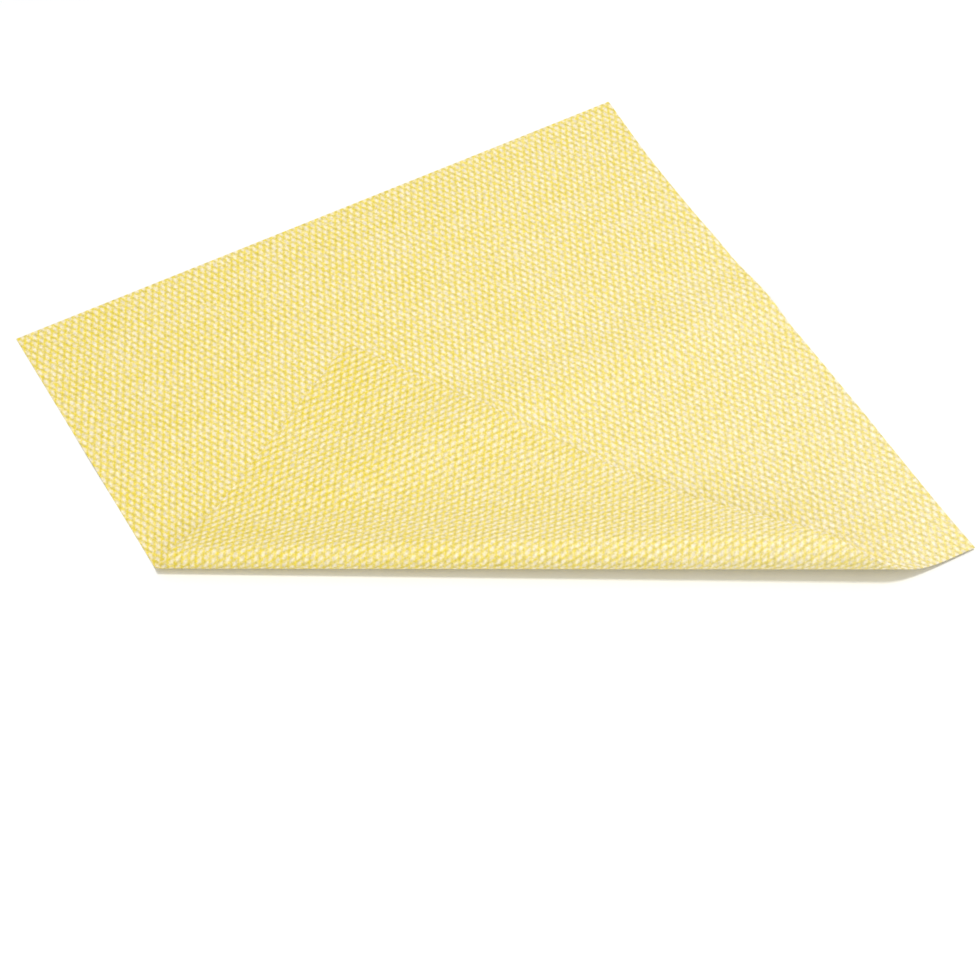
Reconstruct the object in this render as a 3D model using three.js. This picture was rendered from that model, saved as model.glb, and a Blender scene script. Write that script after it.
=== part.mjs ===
// Antistatic cleaning cloth: one cut square of thin nonwoven that lies flat, with its front corner
// turned back over a soft hollow roll. The turned corner runs down from the roll and lies on the cloth.
// Millimetres, +Z up. X runs along the front edge and Y along the left edge.
// The origin is under the middle of the square, on the surface that the cloth lies on.
import * as THREE from 'three';

const side = 600; // the cut square
const thickness = 1;
const layerGap = 0.6; // clear space between the turned corner and the cloth under it
const lyingHeight = thickness + layerGap;

// The fold line is where the cloth starts to bend, seen on the flat square.
const foldAngle = THREE.MathUtils.degToRad(29); // from the front edge
const foldDistance = 279.5; // from the front corner, square to the line

// The roll is tighter at the left end of the fold than at the right end.
// lift: the slope that the lying cloth has reached at the fold line, in degrees
// bend: cloth taken up by the roll; runDown: cloth from the roll to where the corner lies flat
const foldEnds = {
  left: { lift: 0.15, bend: 33.5, runDown: 80 },
  right: { lift: 4, bend: 71, runDown: 178 },
};
const liftLength = 90; // cloth behind the fold line over which the slope builds up
const bendEvenness = 0.7; // 1 is a round roll, 0 bends most in its middle

// Soft ridges where the cloth was folded for packing and doesn't lie quite flat. The first is the
// packing fold, which crosses the cloth from the right edge and dies away before the left one.
// x, y: the crest's middle, from the front corner of the square
// turn: degrees from X to the crest; halfLength: the crest's reach each way, with its fading ends
// front and back: how far the two slopes reach from the crest; height: rise of the crest
const ridges = [
  { x: 400, y: 320, turn: 0, halfLength: 340, fade: 140, front: 44, back: 58, height: 4.8 },
  { x: 480, y: 405, turn: 0, halfLength: 260, fade: 140, front: 34, back: 34, height: 0.8 },
  { x: 60, y: 438, turn: 0, halfLength: 120, fade: 120, front: 50, back: 50, height: 1.3 },
  { x: 372, y: 538, turn: -6, halfLength: 170, fade: 150, front: 58, back: 58, height: 1 },
  { x: 560, y: 165, turn: 0, halfLength: 90, fade: 80, front: 30, back: 30, height: 0.7 },
];

// The right edge isn't quite straight: it draws in a little, deepest at y.
const rightEdgeBay = { y: 495, reachBack: 150, reachForward: 300, depth: 5.2 };

// How finely each stretch of cloth is divided, from the back corner to the front corner.
const rowsOf = { back: 20, middle: 16, lift: 8, verge: 2, bend: 22, runDown: 14, tip: 12 };
const columns = 28; // stretches along each row
const cornerBlunting = 1.5; // the back and front corners end this far short of a point
const sectionStep = 1; // along the cloth, for adding up its slope

// The search for the overturn that lets the corner down to the lying height.
const steepestOverturn = THREE.MathUtils.degToRad(80);
const overturnHalvings = 30;

const sinFold = Math.sin(foldAngle);
const cosFold = Math.cos(foldAngle);

// On the flat square, "along" is measured parallel to the fold line and "out" square to it,
// both from the front corner.
const backCornerOut = side * (sinFold + cosFold);
const leftCornerOut = side * cosFold;
const rightCornerOut = side * sinFold;
const leftFoldEnd = -foldDistance * Math.tan(foldAngle);
const rightFoldEnd = foldDistance / Math.tan(foldAngle);

// The fold's sizes at a place along it, evenly between its two ends.
function foldSizes(along) {
  const share = (along - leftFoldEnd) / (rightFoldEnd - leftFoldEnd);
  const between = (name) => THREE.MathUtils.lerp(foldEnds.left[name], foldEnds.right[name], share);
  return {
    lift: THREE.MathUtils.degToRad(between('lift')),
    bend: between('bend'),
    runDown: between('runDown'),
  };
}

// A ramp from 0 to 1 that starts and ends gently.
function ramp(share) {
  const x = THREE.MathUtils.clamp(share, 0, 1);
  return x - Math.sin(2 * Math.PI * x) / (2 * Math.PI);
}

// The cloth's slope, from 0 where it lies to a half turn where the corner lies back on it.
// overturn is how much further than a half turn the roll bends, so that the corner runs down.
function slopeAt(run, sizes, overturn) {
  const bendShare = THREE.MathUtils.clamp(run / sizes.bend, 0, 1);
  const bent = bendEvenness * bendShare + (1 - bendEvenness) * ramp(bendShare);
  const lifted = sizes.lift * ramp((run + liftLength) / liftLength);
  const levelled = ramp((run - sizes.bend) / sizes.runDown);
  return lifted + (Math.PI + overturn - sizes.lift) * bent - overturn * levelled;
}

// One cut through the fold: how far forward and how high the cloth is after each step of its run.
function traceSection(sizes, overturn) {
  const steps = Math.ceil((liftLength + sizes.bend + sizes.runDown) / sectionStep);
  const points = [{ run: -liftLength, forward: -liftLength, height: 0 }];
  for (let i = 1; i <= steps; i += 1) {
    const last = points[i - 1];
    const slope = slopeAt(last.run + sectionStep / 2, sizes, overturn);
    points.push({
      run: last.run + sectionStep,
      forward: last.forward + sectionStep * Math.cos(slope),
      height: last.height + sectionStep * Math.sin(slope),
    });
  }
  return points;
}

// The section whose corner comes to lie just above the cloth: a steeper overturn brings it lower.
function settledSection(sizes) {
  let low = 0;
  let high = steepestOverturn;
  for (let i = 0; i < overturnHalvings; i += 1) {
    const overturn = (low + high) / 2;
    const end = traceSection(sizes, overturn).at(-1);
    if (end.height > lyingHeight) low = overturn;
    else high = overturn;
  }
  return { overturn: high, points: traceSection(sizes, high) };
}

// Where the cloth is, and its slope, at a run past the fold line.
function placeOnSection(sizes, run) {
  if (run <= -liftLength) return { forward: run, height: 0, slope: 0 };
  const { overturn, points } = settledSection(sizes);
  const last = points.at(-1);
  if (run >= last.run) {
    return { forward: last.forward - (run - last.run), height: last.height, slope: Math.PI };
  }
  const position = (run + liftLength) / sectionStep;
  const index = Math.min(Math.floor(position), points.length - 2);
  const share = position - index;
  return {
    forward: THREE.MathUtils.lerp(points[index].forward, points[index + 1].forward, share),
    height: THREE.MathUtils.lerp(points[index].height, points[index + 1].height, share),
    slope: slopeAt(run, sizes, overturn),
  };
}

// A smooth hump, 1 in its middle and 0 from its two ends on.
function hump(share) {
  return Math.abs(share) < 1 ? (1 + Math.cos(Math.PI * share)) / 2 : 0;
}

// How much the ridges raise the cloth at a place on the square. Cloth that spans them high above
// the lying sheet, as on the roll, stays as it is.
function riseAt(x, y, height) {
  let rise = 0;
  for (const ridge of ridges) {
    const turn = THREE.MathUtils.degToRad(ridge.turn);
    const lengthwise = (x - ridge.x) * Math.cos(turn) + (y - ridge.y) * Math.sin(turn);
    const crosswise = (y - ridge.y) * Math.cos(turn) - (x - ridge.x) * Math.sin(turn);
    const alongRidge = ramp((ridge.halfLength - Math.abs(lengthwise)) / ridge.fade);
    const slopeReach = crosswise > 0 ? ridge.back : ridge.front;
    rise += ridge.height * alongRidge * hump(crosswise / slopeReach);
  }
  const clearance = Math.max(height - lyingHeight, 0);
  return rise > 0 ? rise ** 3 / (rise ** 2 + clearance ** 2) : 0;
}

// How far the cloth is drawn in from the right edge: most at the edge, none at the left edge.
function drawnInAt(x, y) {
  const reach = y > rightEdgeBay.y ? rightEdgeBay.reachBack : rightEdgeBay.reachForward;
  return rightEdgeBay.depth * hump((y - rightEdgeBay.y) / reach) * (x / side) ** 2;
}

// Rows cross the cloth about parallel to the fold. Each is a straight line on the flat square,
// given by how far out it is at either end of the fold.
function rowLines() {
  const level = (out) => ({ left: out, right: out });
  const pastFold = (taken) => ({
    left: foldDistance - taken(foldEnds.left),
    right: foldDistance - taken(foldEnds.right),
  });
  const stretches = [
    { from: level(backCornerOut - cornerBlunting), rows: rowsOf.back },
    { from: level(leftCornerOut), rows: rowsOf.middle },
    { from: level(foldDistance + liftLength), rows: rowsOf.lift },
    { from: level(rightCornerOut), rows: rowsOf.verge },
    { from: level(foldDistance), rows: rowsOf.bend },
    { from: pastFold((end) => end.bend), rows: rowsOf.runDown },
    { from: pastFold((end) => end.bend + end.runDown), rows: rowsOf.tip },
  ];
  const lastLine = level(cornerBlunting);
  const lines = [];
  stretches.forEach(({ from, rows }, index) => {
    const to = stretches[index + 1]?.from ?? lastLine;
    for (let i = 0; i < rows; i += 1) {
      lines.push({
        left: THREE.MathUtils.lerp(from.left, to.left, i / rows),
        right: THREE.MathUtils.lerp(from.right, to.right, i / rows),
      });
    }
  });
  return [...lines, lastLine];
}

// The points of one row on the flat square, evenly spaced between the edges that it runs into.
function rowPoints(line) {
  const tilt = (line.right - line.left) / (rightFoldEnd - leftFoldEnd);
  const outAtZero = line.left - tilt * leftFoldEnd;
  const alongX = cosFold + tilt * sinFold; // x gained for each step along the row
  const alongY = sinFold - tilt * cosFold; // y lost for each step along the row
  const start = Math.max(
    -(outAtZero * sinFold) / alongX,
    (outAtZero * cosFold - side) / alongY,
  );
  const end = Math.min(
    (side - outAtZero * sinFold) / alongX,
    (outAtZero * cosFold) / alongY,
  );
  const points = [];
  for (let i = 0; i <= columns; i += 1) {
    const along = THREE.MathUtils.lerp(start, end, i / columns);
    points.push({ along, out: outAtZero + tilt * along });
  }
  return points;
}

// The upper and lower face points of the cloth for one point of the flat square.
function foldPoint({ along, out }) {
  const section = placeOnSection(foldSizes(along), foldDistance - out);
  const foldedOut = foldDistance - section.forward;
  const x = foldedOut * sinFold + along * cosFold;
  const y = foldedOut * cosFold - along * sinFold;
  const middle = new THREE.Vector3(
    x - drawnInAt(x, y) - side / 2,
    y - side / 2,
    thickness / 2 + section.height + riseAt(x, y, section.height),
  );
  const across = new THREE.Vector3(
    Math.sin(section.slope) * sinFold,
    Math.sin(section.slope) * cosFold,
    Math.cos(section.slope),
  ).multiplyScalar(thickness / 2);
  return { upper: middle.clone().add(across), lower: middle.clone().sub(across) };
}

// The whole cloth as one closed sheet: its two faces and the cut edge round them.
function clothGeometry() {
  const rows = rowLines().map((line) => rowPoints(line).map(foldPoint));
  const perRow = columns + 1;
  const perFace = rows.length * perRow;
  const positions = [];
  for (const face of ['upper', 'lower']) {
    for (const point of rows.flat()) positions.push(...point[face].toArray());
  }
  const at = (row, column) => row * perRow + column;
  const index = [];
  for (let row = 0; row + 1 < rows.length; row += 1) {
    for (let column = 0; column < columns; column += 1) {
      const a = at(row, column);
      const b = at(row + 1, column);
      const c = at(row + 1, column + 1);
      const d = at(row, column + 1);
      index.push(a, b, c, a, c, d);
      index.push(a + perFace, c + perFace, b + perFace, a + perFace, d + perFace, c + perFace);
    }
  }
  const edge = [];
  const lastRow = rows.length - 1;
  for (let row = 0; row < lastRow; row += 1) edge.push(at(row, 0));
  for (let column = 0; column < columns; column += 1) edge.push(at(lastRow, column));
  for (let row = lastRow; row > 0; row -= 1) edge.push(at(row, columns));
  for (let column = columns; column > 0; column -= 1) edge.push(at(0, column));
  edge.forEach((from, i) => {
    const to = edge[(i + 1) % edge.length];
    index.push(to, from, from + perFace, to, from + perFace, to + perFace);
  });
  const geometry = new THREE.BufferGeometry();
  geometry.setAttribute('position', new THREE.Float32BufferAttribute(positions, 3));
  geometry.setIndex(index);
  geometry.computeVertexNormals();
  return geometry;
}

const clothMaterial = new THREE.MeshStandardMaterial({
  color: 0xf4e498,
  roughness: 0.95,
  metalness: 0,
});

const cloth = new THREE.Mesh(clothGeometry(), clothMaterial);
cloth.name = 'cloth';

const cleaningCloth = new THREE.Group();
cleaningCloth.add(cloth);

export default cleaningCloth;
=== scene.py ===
import math

import bpy
import numpy as np
from mathutils import Matrix, Vector


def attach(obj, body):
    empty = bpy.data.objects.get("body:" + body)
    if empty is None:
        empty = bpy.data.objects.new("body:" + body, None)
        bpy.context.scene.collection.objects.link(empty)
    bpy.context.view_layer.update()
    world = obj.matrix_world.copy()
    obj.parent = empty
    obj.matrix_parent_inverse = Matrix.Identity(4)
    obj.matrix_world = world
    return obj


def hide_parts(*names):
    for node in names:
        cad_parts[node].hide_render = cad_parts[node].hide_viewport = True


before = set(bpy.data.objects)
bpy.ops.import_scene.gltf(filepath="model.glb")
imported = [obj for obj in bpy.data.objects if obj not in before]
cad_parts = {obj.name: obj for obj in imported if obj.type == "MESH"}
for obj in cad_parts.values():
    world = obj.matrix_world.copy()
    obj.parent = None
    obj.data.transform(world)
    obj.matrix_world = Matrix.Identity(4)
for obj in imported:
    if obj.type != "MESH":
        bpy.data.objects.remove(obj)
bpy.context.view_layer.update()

# Lengths are in metres and turns in degrees. Places on the flat square are measured from its
# front corner: x along the front edge, y along the left edge.
clothShape = {
    "side": 0.6,
    "thickness": 0.0006,
    "layerGap": 0.0006,  # clear space between the turned corner and the cloth under it
    "foldAngle": 29,  # from the front edge
    "foldDistance": 0.2795,  # from the front corner, square to the fold line
    "liftLength": 0.09,  # cloth behind the fold line over which the slope builds up
    "bendEvenness": 0.7,  # 1 is a round roll, 0 bends most in its middle
    # The two ends of the fold: the slope at the fold line, the cloth in the roll, and the cloth
    # that runs down from the roll to where the corner lies flat.
    "foldEnds": {
        "left": {"lift": 0.15, "bend": 0.0335, "runDown": 0.080},
        "right": {"lift": 4, "bend": 0.071, "runDown": 0.178},
    },
    # Soft ridges where the cloth was folded for packing. The first is the packing fold.
    # x and y are the crest's middle; turn goes from x to the crest. halfLength is the crest's
    # reach each way, with its fading ends; front and back are how far its two slopes reach.
    "ridges": [
        {"x": 0.400, "y": 0.320, "turn": 0, "halfLength": 0.340, "fade": 0.140,
         "front": 0.044, "back": 0.058, "height": 0.0048},
        {"x": 0.480, "y": 0.405, "turn": 0, "halfLength": 0.260, "fade": 0.140,
         "front": 0.034, "back": 0.034, "height": 0.0008},
        {"x": 0.060, "y": 0.438, "turn": 0, "halfLength": 0.120, "fade": 0.120,
         "front": 0.050, "back": 0.050, "height": 0.0013},
        {"x": 0.372, "y": 0.538, "turn": -6, "halfLength": 0.170, "fade": 0.150,
         "front": 0.058, "back": 0.058, "height": 0.0010},
        {"x": 0.560, "y": 0.165, "turn": 0, "halfLength": 0.090, "fade": 0.080,
         "front": 0.030, "back": 0.030, "height": 0.0007},
    ],
    # The right edge draws in a little, deepest at y.
    "rightEdgeBay": {"y": 0.495, "reachBack": 0.150, "reachForward": 0.300, "depth": 0.0052},
    "gridSteps": 218,  # quads along each side of the square
    "sectionStep": 0.001,  # along the cloth, for adding up its slope
    "sectionCount": 31,  # cuts through the fold, which is blended between them
    "steepestOverturn": 80,
    "overturnHalvings": 30,
    "crispAngle": 60,  # faces that meet at less are shaded as one
}


# Slopes up from 0 to 1, starting and ending gently.
def ramp(share):
    inside = np.clip(share, 0, 1)
    return inside - np.sin(2 * np.pi * inside) / (2 * np.pi)


# 1 in its middle and 0 from its two ends on.
def hump(share):
    return np.where(np.abs(share) < 1, (1 + np.cos(np.pi * share)) / 2, 0)


# The cloth's slope at a run past the fold line, from 0 to a half turn.
# overturn is how much further than a half turn the roll bends, so that the corner runs down.
def slopeAt(run, sizes, overturn):
    share = np.clip(run / sizes["bend"], 0, 1)
    evenness = clothShape["bendEvenness"]
    bent = evenness * share + (1 - evenness) * ramp(share)
    lift = math.radians(sizes["lift"])
    lifted = lift * ramp((run + clothShape["liftLength"]) / clothShape["liftLength"])
    levelled = ramp((run - sizes["bend"]) / sizes["runDown"])
    return lifted + (np.pi + overturn - lift) * bent - overturn * levelled


# One cut through the fold: how far forward and how high the cloth is along its run.
def foldSection(sizes, longestRun):
    step = clothShape["sectionStep"]
    lift = clothShape["liftLength"]
    run = np.arange(-lift, sizes["bend"] + sizes["runDown"] + step, step)
    middles = (run[1:] + run[:-1]) / 2
    lying = clothShape["thickness"] + clothShape["layerGap"]
    # the overturn is halved in on, until the corner comes down to its lying height
    low, high = 0.0, math.radians(clothShape["steepestOverturn"])
    for halving in range(clothShape["overturnHalvings"]):
        overturn = (low + high) / 2
        slope = slopeAt(middles, sizes, overturn)
        endHeight = step * np.sin(slope).sum()
        low, high = (overturn, high) if endHeight > lying else (low, overturn)
    slope = slopeAt(middles, sizes, high)
    forward = -lift + step * np.concatenate([[0], np.cumsum(np.cos(slope))])
    height = step * np.concatenate([[0], np.cumsum(np.sin(slope))])
    allRuns = np.arange(-lift, longestRun + step, step)
    past = np.maximum(allRuns - run[-1], 0)
    return allRuns, np.interp(allRuns, run, forward) - past, np.interp(allRuns, run, height)


# Where points of the flat square lie once its corner is turned back.
def foldCloth(x, y):
    angle = math.radians(clothShape["foldAngle"])
    sinFold, cosFold = math.sin(angle), math.cos(angle)
    distance = clothShape["foldDistance"]
    leftEnd, rightEnd = -distance * math.tan(angle), distance / math.tan(angle)
    # out is square to the fold line and along is beside it, both from the front corner
    out = x * sinFold + y * cosFold
    along = x * cosFold - y * sinFold
    run = distance - out
    share = (along - leftEnd) / (rightEnd - leftEnd)
    stations = np.linspace(share.min(), share.max(), clothShape["sectionCount"])
    left, right = clothShape["foldEnds"]["left"], clothShape["foldEnds"]["right"]
    forwards, heights = [], []
    for station in stations:
        sizes = {name: left[name] + station * (right[name] - left[name]) for name in left}
        runs, forward, height = foldSection(sizes, distance)
        forwards.append(forward)
        heights.append(height)
    forwards, heights = np.array(forwards), np.array(heights)
    atStation = (share - stations[0]) / (stations[1] - stations[0])
    station = np.clip(np.floor(atStation).astype(int), 0, len(stations) - 2)
    betweenStations = atStation - station
    atRun = (np.maximum(run, runs[0]) - runs[0]) / clothShape["sectionStep"]
    step = np.clip(np.floor(atRun).astype(int), 0, len(runs) - 2)
    betweenRuns = atRun - step

    def blended(table):
        before = table[station, step] * (1 - betweenRuns) + table[station, step + 1] * betweenRuns
        after = (table[station + 1, step] * (1 - betweenRuns)
                 + table[station + 1, step + 1] * betweenRuns)
        return before * (1 - betweenStations) + after * betweenStations

    flat = run <= runs[0]
    foldedOut = distance - np.where(flat, run, blended(forwards))
    height = np.where(flat, 0, blended(heights))
    return foldedOut * sinFold + along * cosFold, foldedOut * cosFold - along * sinFold, height


# How much the ridges raise the cloth. Cloth that spans them high above the lying sheet,
# as on the roll, stays as it is.
def riseAt(x, y, height):
    rise = np.zeros_like(x)
    for ridge in clothShape["ridges"]:
        turn = math.radians(ridge["turn"])
        lengthwise = (x - ridge["x"]) * math.cos(turn) + (y - ridge["y"]) * math.sin(turn)
        crosswise = (y - ridge["y"]) * math.cos(turn) - (x - ridge["x"]) * math.sin(turn)
        alongRidge = ramp((ridge["halfLength"] - np.abs(lengthwise)) / ridge["fade"])
        slopeReach = np.where(crosswise > 0, ridge["back"], ridge["front"])
        rise += ridge["height"] * alongRidge * hump(crosswise / slopeReach)
    clearance = np.maximum(height - clothShape["thickness"] - clothShape["layerGap"], 0)
    noRise = 1e-12  # stands in for 0 below the line
    return rise ** 3 / np.maximum(rise ** 2 + clearance ** 2, noRise)


# How far the cloth is drawn in from the right edge: most at the edge, none at the left edge.
def drawnInAt(x, y):
    bay = clothShape["rightEdgeBay"]
    reach = np.where(y > bay["y"], bay["reachBack"], bay["reachForward"])
    return bay["depth"] * hump((y - bay["y"]) / reach) * (x / clothShape["side"]) ** 2


# The sheet is a grid over the flat square, folded point by point, and then given its thickness.
def makeCloth():
    steps, side = clothShape["gridSteps"], clothShape["side"]
    shares = np.linspace(0, 1, steps + 1)
    u, v = (grid.ravel() for grid in np.meshgrid(shares, shares))
    x, y, height = foldCloth(u * side, v * side)
    height = height + riseAt(x, y, height) + clothShape["thickness"] / 2
    drawnIn = drawnInAt(x, y)
    points = np.column_stack([x - drawnIn - side / 2, y - side / 2, height])
    across = steps + 1
    faces = [
        (row * across + column, row * across + column + 1,
         (row + 1) * across + column + 1, (row + 1) * across + column)
        for row in range(steps) for column in range(steps)
    ]
    mesh = bpy.data.meshes.new("nonwovenCloth")
    mesh.from_pydata(points.tolist(), [], faces)
    flatSheet = mesh.uv_layers.new(name="flatSheet")
    corners = np.array([loop.vertex_index for loop in mesh.loops])
    # the edge is cut with the bay, and the lozenges run on straight
    flatSheet.data.foreach_set("uv", np.column_stack([u - drawnIn / side, v])[corners].ravel())
    cloth = bpy.data.objects.new("nonwovenCloth", mesh)
    bpy.context.scene.collection.objects.link(cloth)
    bpy.ops.object.select_all(action="DESELECT")
    cloth.select_set(True)
    bpy.context.view_layer.objects.active = cloth
    solidify = cloth.modifiers.new("thickness", "SOLIDIFY")
    solidify.thickness = clothShape["thickness"]
    solidify.offset = 0
    bpy.ops.object.modifier_apply(modifier="thickness")
    # Solidify adds the underside's points after those of the upper side
    underside = cloth.data.attributes.new("underside", "FLOAT", "POINT")
    shell = np.arange(len(cloth.data.vertices)) >= len(points)
    underside.data.foreach_set("value", shell.astype(np.float32))
    bpy.ops.object.shade_smooth_by_angle(angle=math.radians(clothShape["crispAngle"]))
    return cloth


# Wraps a node's output, so that shader maths can be written as an expression.
class Signal:
    def __init__(self, tree, output=None):
        self.tree = tree
        self.output = output

    # Adds a node: its settings first, then a value or a link for each socket.
    def node(self, kind, settings, inputs, output=0):
        new = self.tree.nodes.new(kind)
        for name, value in settings.items():
            setattr(new, name, value)
        for name, value in inputs.items():
            if isinstance(value, Signal):
                self.tree.links.new(value.output, new.inputs[name])
            else:
                new.inputs[name].default_value = value
        return Signal(self.tree, new.outputs[output] if new.outputs else None)

    def maths(self, operation, *values):
        inputs = dict(enumerate((self, *values)))
        return self.node("ShaderNodeMath", {"operation": operation}, inputs)

    def __add__(self, other):
        return self.maths("ADD", other)

    __radd__ = __add__

    def __sub__(self, other):
        return self.maths("SUBTRACT", other)

    def __rsub__(self, other):
        return self * -1 + other

    def __mul__(self, other):
        return self.maths("MULTIPLY", other)

    __rmul__ = __mul__

    def __truediv__(self, other):
        return self.maths("DIVIDE", other)

    def __rtruediv__(self, other):
        return self.maths("POWER", -1) * other

    def __abs__(self):
        return self.maths("ABSOLUTE")

    # The distance to the nearest whole number, from -0.5 to 0.5.
    def fromNearest(self):
        return self - self.maths("ROUND")

    # 0 at low, 1 at high, and a soft curve between them.
    def between(self, low, high):
        return self.node("ShaderNodeMapRange", {"interpolation_type": "SMOOTHSTEP"},
                         {"Value": self, "From Min": low, "From Max": high})


# The nonwoven: a yellow mesh whose white lozenges are uneven in size, edge and thickness.
meshPattern = {
    "lozengesAcross": 92.65,  # along x, over the side of the square
    "lozengesUp": 46,  # along y, in each column
    "lean": 1.2,  # lozenges that a column drifts along x, over the side of the square
    "lozengeSize": 0.50,  # share of the pitch, each way
    "edgeSoftness": 1.1,
    "roundness": 0.7,  # 0 is a straight-sided lozenge, 1 an oval
    "wanderAcross": 0.12,  # pitches that a lozenge lies off its place
    "wanderUp": 0.10,
    "edgeFibres": 0.35,  # how much the fibres and specks fray the lozenges
    "edgeSpecks": 1.9,
    "clumpWhite": 0.80,  # white that clumps and streaks of fibre add and take
    "streakWhite": 0.32,
    "yellow": (0.742, 0.588, 0.051, 1),
    "white": (0.806, 0.730, 0.548, 1),
    # the white that the painted highlight mixes into the colour
    "paintedHighlightWhite": (0.93, 0.93, 0.93, 1),
    "paintedHighlight": 0.16,  # painted highlight: how far the colour pales towards the right corner
    "paintedHighlightSpared": 0.75,  # how much of that the back edge is spared
    "undersideTint": (0.992, 0.985, 0.930, 1),  # the underside is dyed a little deeper
    "brightness": 1.04,
    "fibreShade": 0.05,  # how much brighter or darker each of these makes the colour
    "thinShade": 0.72,
    "threadShade": 0.155,
    "lozengeRelief": 0.5,  # shares in the height of the surface
    "fibreRelief": 0.7,
    "clumpRelief": 0.2,
    "reliefStrength": 0.35,
    "reliefDepth": 0.0002,
    "roughness": 0.78,
    "specular": 0.35,
    "sheen": 0.12,
    "sheenRoughness": 0.5,
    # Patches of unevenness: their size across and up, how fine their detail goes, and their turn.
    "patches": {
        "wander": {"across": 0.030, "up": 0.030, "detail": 1, "turn": 0},
        "fibresUp": {"across": 0.0006, "up": 0.0045, "detail": 3, "turn": 12},
        "fibresAskew": {"across": 0.0006, "up": 0.0035, "detail": 3, "turn": -38},
        "specks": {"across": 0.0013, "up": 0.0016, "detail": 2, "turn": 0},
        "clumps": {"across": 0.0042, "up": 0.0036, "detail": 2, "turn": 0},
        "streaks": {"across": 0.052, "up": 0.018, "detail": 2, "turn": 0},
        "thinness": {"across": 0.0031, "up": 0.0034, "detail": 2, "turn": 40},
    },
    "patchRoughness": 0.55,
}


def makeClothMaterial():
    material = bpy.data.materials.new("nonwovenMesh")
    material.use_nodes = True
    tree = material.node_tree
    tree.nodes.clear()
    start = Signal(tree)
    pattern = meshPattern
    sheet = start.node("ShaderNodeUVMap", {"uv_map": "flatSheet"}, {})
    u, v = (start.node("ShaderNodeSeparateXYZ", {}, {"Vector": sheet}, output=axis)
            for axis in ("X", "Y"))

    # noise about 0, from -0.5 to 0.5
    def unevenness(name):
        patch, side = pattern["patches"][name], clothShape["side"]
        placed = start.node("ShaderNodeMapping", {}, {
            "Vector": sheet, "Rotation": (0, 0, math.radians(patch["turn"])),
            "Scale": (side / patch["across"], side / patch["up"], 1),
        })
        return start.node("ShaderNodeTexNoise", {"noise_dimensions": "2D"}, {
            "Vector": placed, "Scale": 1, "Detail": patch["detail"],
            "Roughness": pattern["patchRoughness"],
        }) - 0.5

    # a mix of two colours, by the numbers of the node's colour sockets
    def mixed(first, second, share, blend="MIX"):
        return start.node("ShaderNodeMix", {"data_type": "RGBA", "blend_type": blend},
                          {0: share, 6: first, 7: second}, output=2)

    wander = unevenness("wander")
    across = (u * pattern["lozengesAcross"] + v * pattern["lean"]
              + wander * pattern["wanderAcross"])
    up = v * pattern["lozengesUp"] + wander * pattern["wanderUp"]
    rising = (across + up).fromNearest()
    falling = (across - up).fromNearest()
    beside = abs(rising + falling) / pattern["lozengeSize"]
    above = abs(rising - falling) / pattern["lozengeSize"]
    straight = beside + above
    rounded = (beside * beside + above * above).maths("SQRT")
    roundness = pattern["roundness"]
    reach = straight * (1 - roundness) + rounded * roundness

    fibres = unevenness("fibresUp") + unevenness("fibresAskew")
    clumps = unevenness("clumps")
    frayed = (reach + fibres * pattern["edgeFibres"]
              + unevenness("specks") * pattern["edgeSpecks"])
    softness = pattern["edgeSoftness"]
    lozenges = 1 - frayed.between(1 - softness, 1 + softness)
    white = (lozenges + clumps * pattern["clumpWhite"]
             + unevenness("streaks") * pattern["streakWhite"])

    dyed = mixed(pattern["yellow"], pattern["white"], white)
    # painted highlight: the colour pales towards the right corner, less along the back edge,
    # standing in for the sheen of the light there
    paintedHighlight = u * (1 - v * pattern["paintedHighlightSpared"]) * pattern["paintedHighlight"]
    withPaintedHighlight = mixed(dyed, pattern["paintedHighlightWhite"], paintedHighlight)
    underside = start.node("ShaderNodeAttribute", {"attribute_name": "underside"}, {},
                           output="Fac")
    deeper = mixed(withPaintedHighlight, pattern["undersideTint"], underside, "MULTIPLY")
    tint = (pattern["brightness"] + fibres * pattern["fibreShade"]
            + unevenness("thinness") * pattern["thinShade"]
            - abs(rising) * pattern["threadShade"])
    colour = start.node("ShaderNodeVectorMath", {"operation": "SCALE"},
                        {"Vector": deeper, "Scale": tint})

    relief = (lozenges * pattern["lozengeRelief"] + fibres * pattern["fibreRelief"]
              + clumps * pattern["clumpRelief"])
    normal = start.node("ShaderNodeBump", {}, {
        "Height": relief, "Strength": pattern["reliefStrength"],
        "Distance": pattern["reliefDepth"],
    })
    shader = start.node("ShaderNodeBsdfPrincipled", {}, {
        "Base Color": colour, "Normal": normal, "Roughness": pattern["roughness"],
        "Specular IOR Level": pattern["specular"], "Sheen Weight": pattern["sheen"],
        "Sheen Roughness": pattern["sheenRoughness"],
    })
    start.node("ShaderNodeOutputMaterial", {}, {"Surface": shader})
    return material


studio = {
    "floor": {"size": 12, "colour": (0.90, 0.905, 0.91, 1), "roughness": 0.9, "specular": 0.1},
    "world": {"colour": (1, 1, 1, 1), "strength": 0.69},
    "lights": [
        # nearly overhead, a little behind the roll and to its right
        {"name": "keyLight", "place": (0.60, -0.26, 3.0), "lookAt": (0, 0, 0), "width": 0.46,
         "height": 0.46, "watts": 46, "colour": (1.0, 0.99, 0.97)},
        # broad and low, on the camera's side
        {"name": "fillLight", "place": (-1.55, -1.85, 0.75), "lookAt": (0, 0, 0), "width": 2.0,
         "height": 0.8, "watts": 9.5, "colour": (0.98, 0.99, 1.0)},
    ],
    "camera": {
        "place": (-0.7846, -1.4798, 2.0534),
        "lookAt": (-0.0192, -0.0496, 0.0),
        "roll": -0.825,  # degrees
        "lens": 114.42,  # millimetres, as the sensor's width
        "sensorWidth": 36,
    },
}


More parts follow.
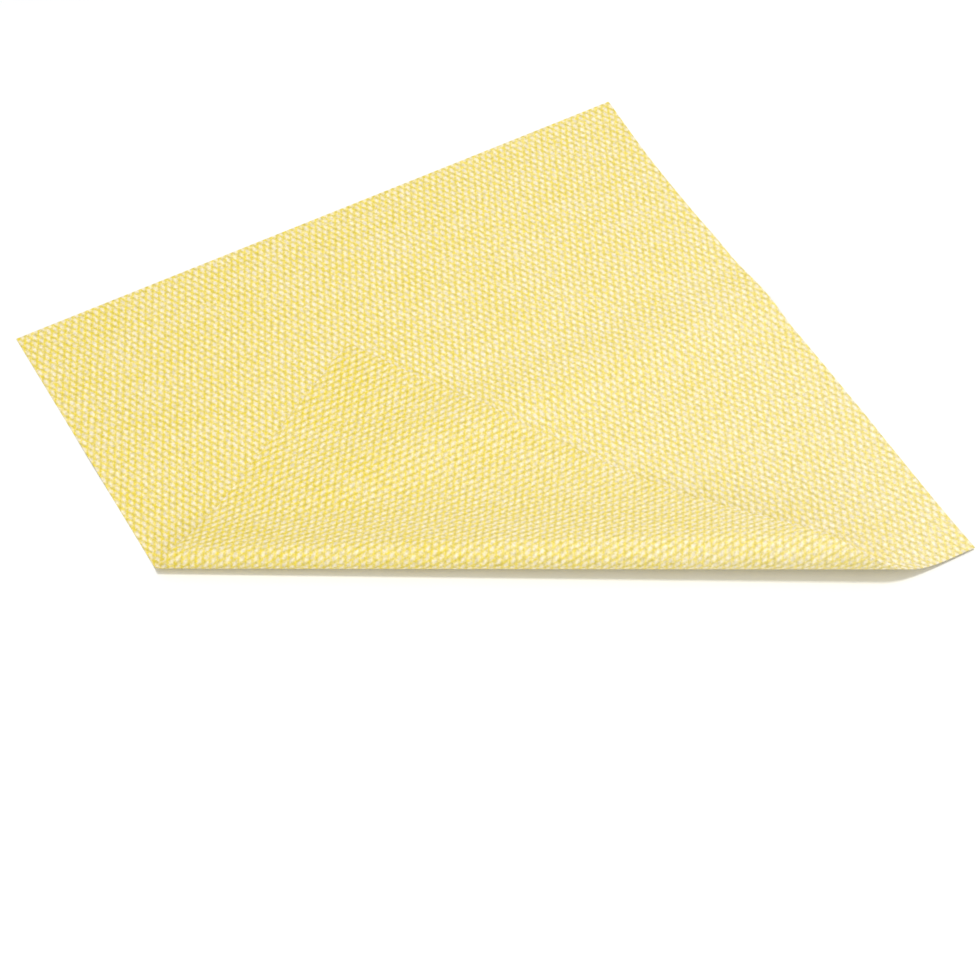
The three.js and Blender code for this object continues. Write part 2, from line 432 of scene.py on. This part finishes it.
def makeFloor():
    settings = studio["floor"]
    bpy.ops.object.select_all(action="DESELECT")
    bpy.ops.mesh.primitive_plane_add(size=settings["size"], location=(0, 0, 0))
    floor = bpy.context.object
    floor.name = "studioFloor"
    material = bpy.data.materials.new("paleFloor")
    material.use_nodes = True
    sockets = material.node_tree.nodes["Principled BSDF"].inputs
    sockets["Base Color"].default_value = settings["colour"]
    sockets["Roughness"].default_value = settings["roughness"]
    sockets["Specular IOR Level"].default_value = settings["specular"]
    floor.data.materials.append(material)
    return floor


def aimAt(thing, place, target, roll=0):
    thing.location = place
    turn = (Vector(target) - Vector(place)).to_track_quat("-Z", "Y").to_matrix()
    thing.rotation_euler = (turn @ Matrix.Rotation(math.radians(roll), 3, "Z")).to_euler()


def placeLights():
    for light in studio["lights"]:
        data = bpy.data.lights.new(light["name"], "AREA")
        data.shape = "RECTANGLE"
        data.size = light["width"]
        data.size_y = light["height"]
        data.energy = light["watts"]
        data.color = light["colour"]
        lamp = bpy.data.objects.new(light["name"], data)
        bpy.context.scene.collection.objects.link(lamp)
        aimAt(lamp, light["place"], light["lookAt"])
    world = bpy.data.worlds.new("studio")
    bpy.context.scene.world = world
    world.use_nodes = True
    sockets = world.node_tree.nodes["Background"].inputs
    sockets["Color"].default_value = studio["world"]["colour"]
    sockets["Strength"].default_value = studio["world"]["strength"]
    bpy.context.scene.view_settings.view_transform = "Standard"


def placeCamera():
    settings = studio["camera"]
    data = bpy.data.cameras.new("camera")
    data.lens = settings["lens"]
    data.sensor_width = settings["sensorWidth"]
    camera = bpy.data.objects.new("camera", data)
    bpy.context.scene.collection.objects.link(camera)
    aimAt(camera, settings["place"], settings["lookAt"], settings["roll"])
    bpy.context.scene.camera = camera


cloth = makeCloth()
print("cloth made:", len(cloth.data.polygons), "faces")

cloth.data.materials.append(makeClothMaterial())
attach(cloth, "root")
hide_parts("cloth")
print("cloth dyed with its lozenges")

makeFloor()
placeLights()
placeCamera()
print("floor, lights and camera placed")
